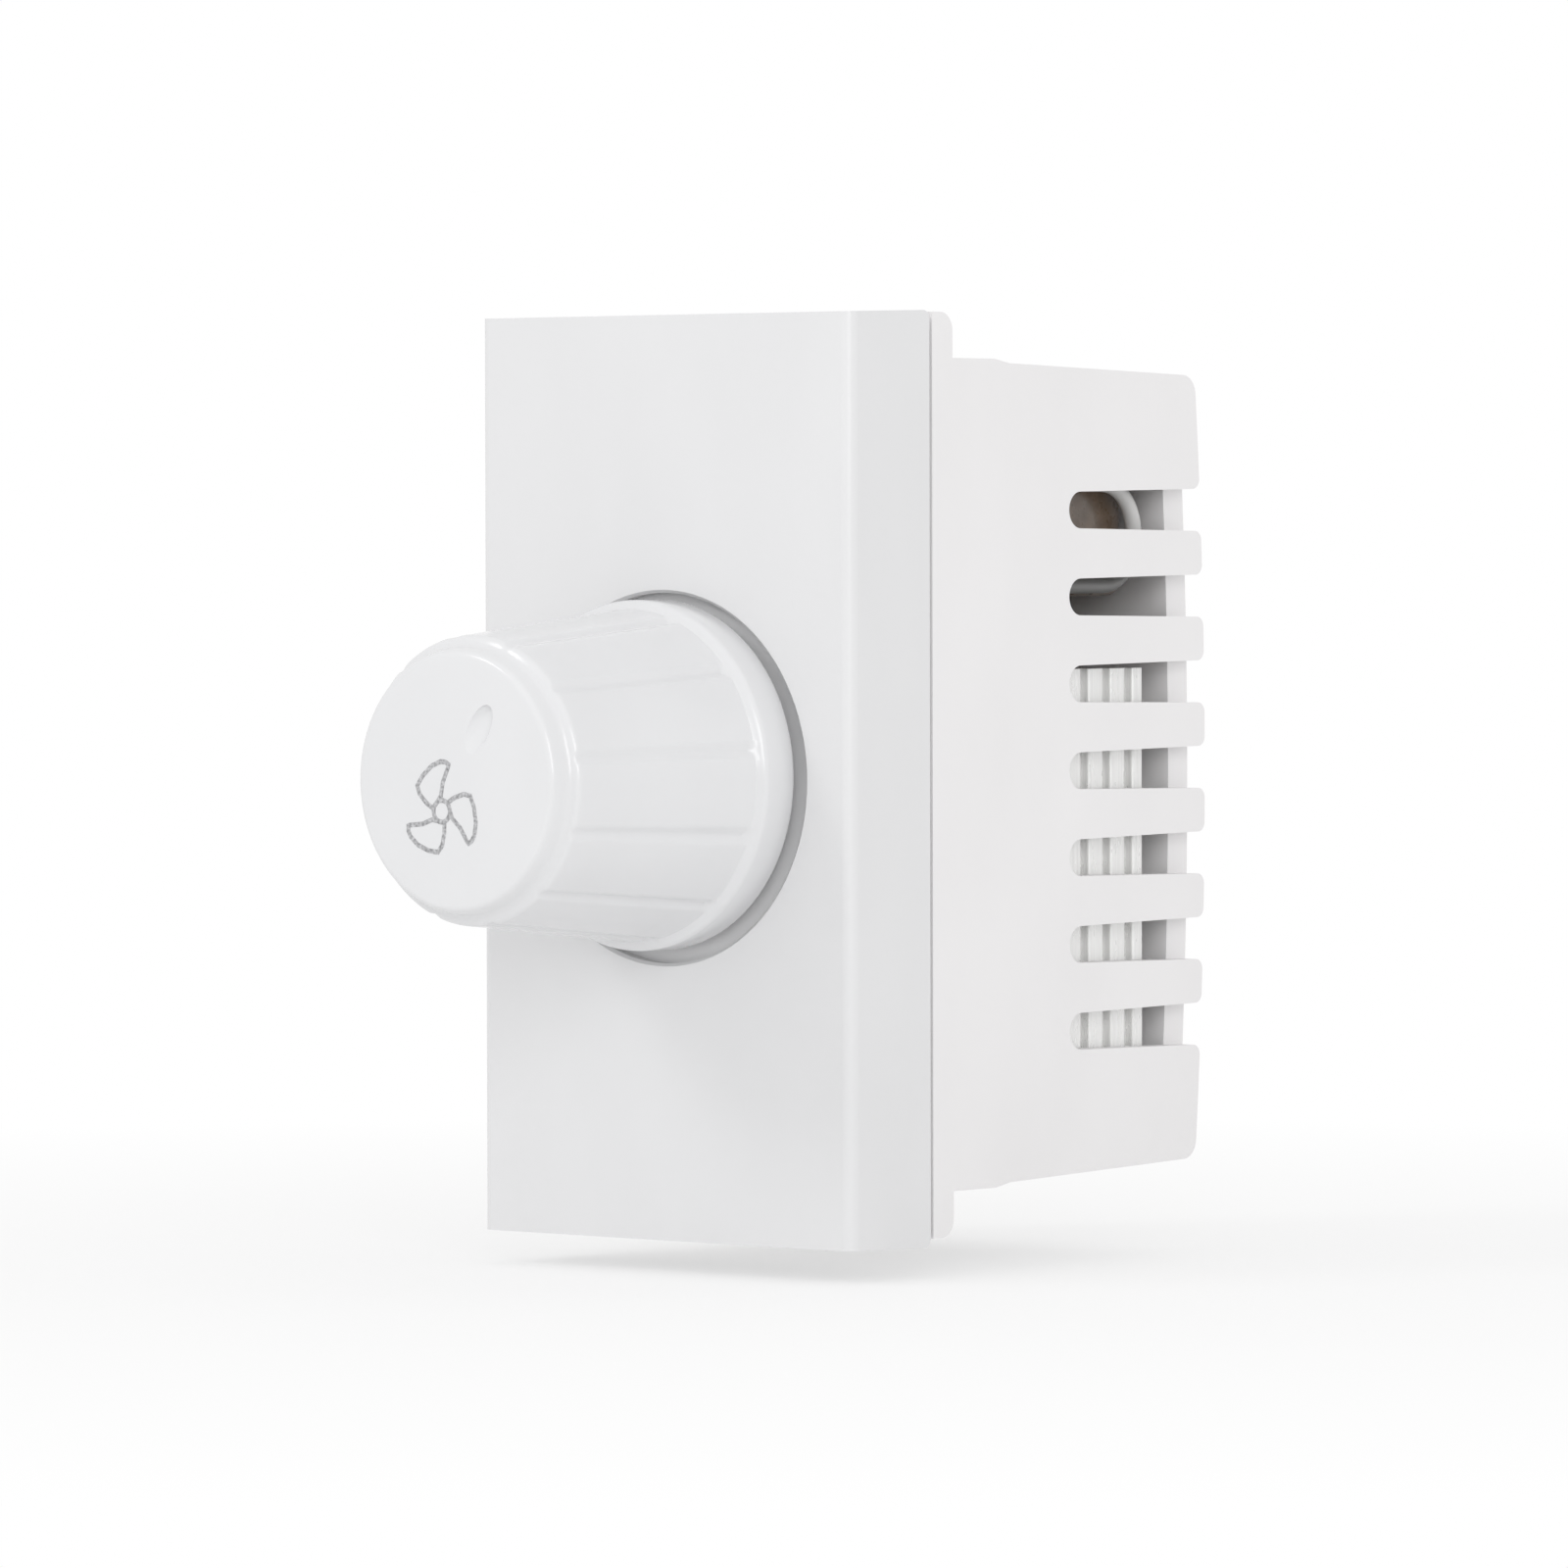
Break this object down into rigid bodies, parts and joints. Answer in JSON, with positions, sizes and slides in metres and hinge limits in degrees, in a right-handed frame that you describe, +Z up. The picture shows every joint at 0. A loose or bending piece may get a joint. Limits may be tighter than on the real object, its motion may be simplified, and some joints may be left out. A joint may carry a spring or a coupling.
{
  "type": "fan speed control switch",
  "caption": "White rotary fan speed control module: fluted knob in a round well on a tall plate, with a flanged, side-vented housing that snaps into a wall support frame.",
  "frame": {"origin": "on the knob's axis, in the plane of the flange's rear face, which seats on the support frame", "axes": "+Z up, -Y out of the wall towards the user, +Y into the wall, +X to the right seen from the front"},
  "size_m": [0.0236, 0.0425, 0.045],
  "materials": {
    "front_plate": "gloss white moulding",
    "knob": "gloss white moulding",
    "rear_housing": "satin warm white moulding",
    "pot_bushing": "plated die casting",
    "bushing_washer": "bright zinc plate",
    "bushing_nut": "plated",
    "pot_shaft": "natural nylon",
    "shaft_clip": "bright spring steel",
    "wiper_rotor": "black moulding",
    "wiper_spring": "phosphor bronze",
    "pot_can": "bright plate",
    "track_wafer": "phenolic laminate",
    "pot_terminals": "tinned",
    "circuit_board": "laminate",
    "heat_sink": "mill finish",
    "triac_body": "black moulding",
    "triac_leads": "tinned",
    "triac_screw": "zinc plate",
    "timing_capacitor": "dipped brown lacquer",
    "timing_capacitor_leads": "tinned",
    "suppression_capacitor": "yellow box",
    "suppression_capacitor_leads": "tinned",
    "choke_core": "ferrite",
    "choke_winding": "enamelled copper",
    "choke_leads": "tinned copper",
    "resistors": "lacquer",
    "resistor_leads": "tinned",
    "jumper_wire": "white insulation",
    "terminal_block": "moulding",
    "terminal_pillars": "turned brass",
    "terminal_screws": "zinc plate",
    "diac": "tinted glass",
    "diac_leads": "tinned",
    "fuse": "ceramic sleeve",
    "fuse_leads": "tinned"
  },
  "bodies": {
    "module": {"front_plate": "front_plate", "rear_housing": "rear_housing", "pot_bushing": "pot_bushing", "bushing_washer": "bushing_washer", "bushing_nut": "bushing_nut", "pot_can": "pot_can", "track_wafer": "track_wafer", "pot_terminals": "pot_terminals", "circuit_board": "circuit_board", "heat_sink": "heat_sink", "triac_body": "triac_body", "triac_leads": "triac_leads", "triac_screw": "triac_screw", "timing_capacitor": "timing_capacitor", "timing_capacitor_leads": "timing_capacitor_leads", "suppression_capacitor": "suppression_capacitor", "suppression_capacitor_leads": "suppression_capacitor_leads", "choke_core": "choke_core", "choke_winding": "choke_winding", "choke_leads": "choke_leads", "resistors": "resistors", "resistor_leads": "resistor_leads", "jumper_wire": "jumper_wire", "terminal_block": "terminal_block", "terminal_pillars": "terminal_pillars", "terminal_screws": "terminal_screws", "diac": "diac", "diac_leads": "diac_leads", "fuse": "fuse", "fuse_leads": "fuse_leads"},
    "knob": {"knob": "knob", "pot_shaft": "pot_shaft", "shaft_clip": "shaft_clip", "wiper_rotor": "wiper_rotor", "wiper_spring": "wiper_spring"}
  },
  "joints": [
    {"name": "knob_turn", "type": "hinge", "parent": "module", "child": "knob", "pos_m": [0, 0, 0], "axis": [0, 1, 0], "range_deg": [-182, 118]}
  ]
}
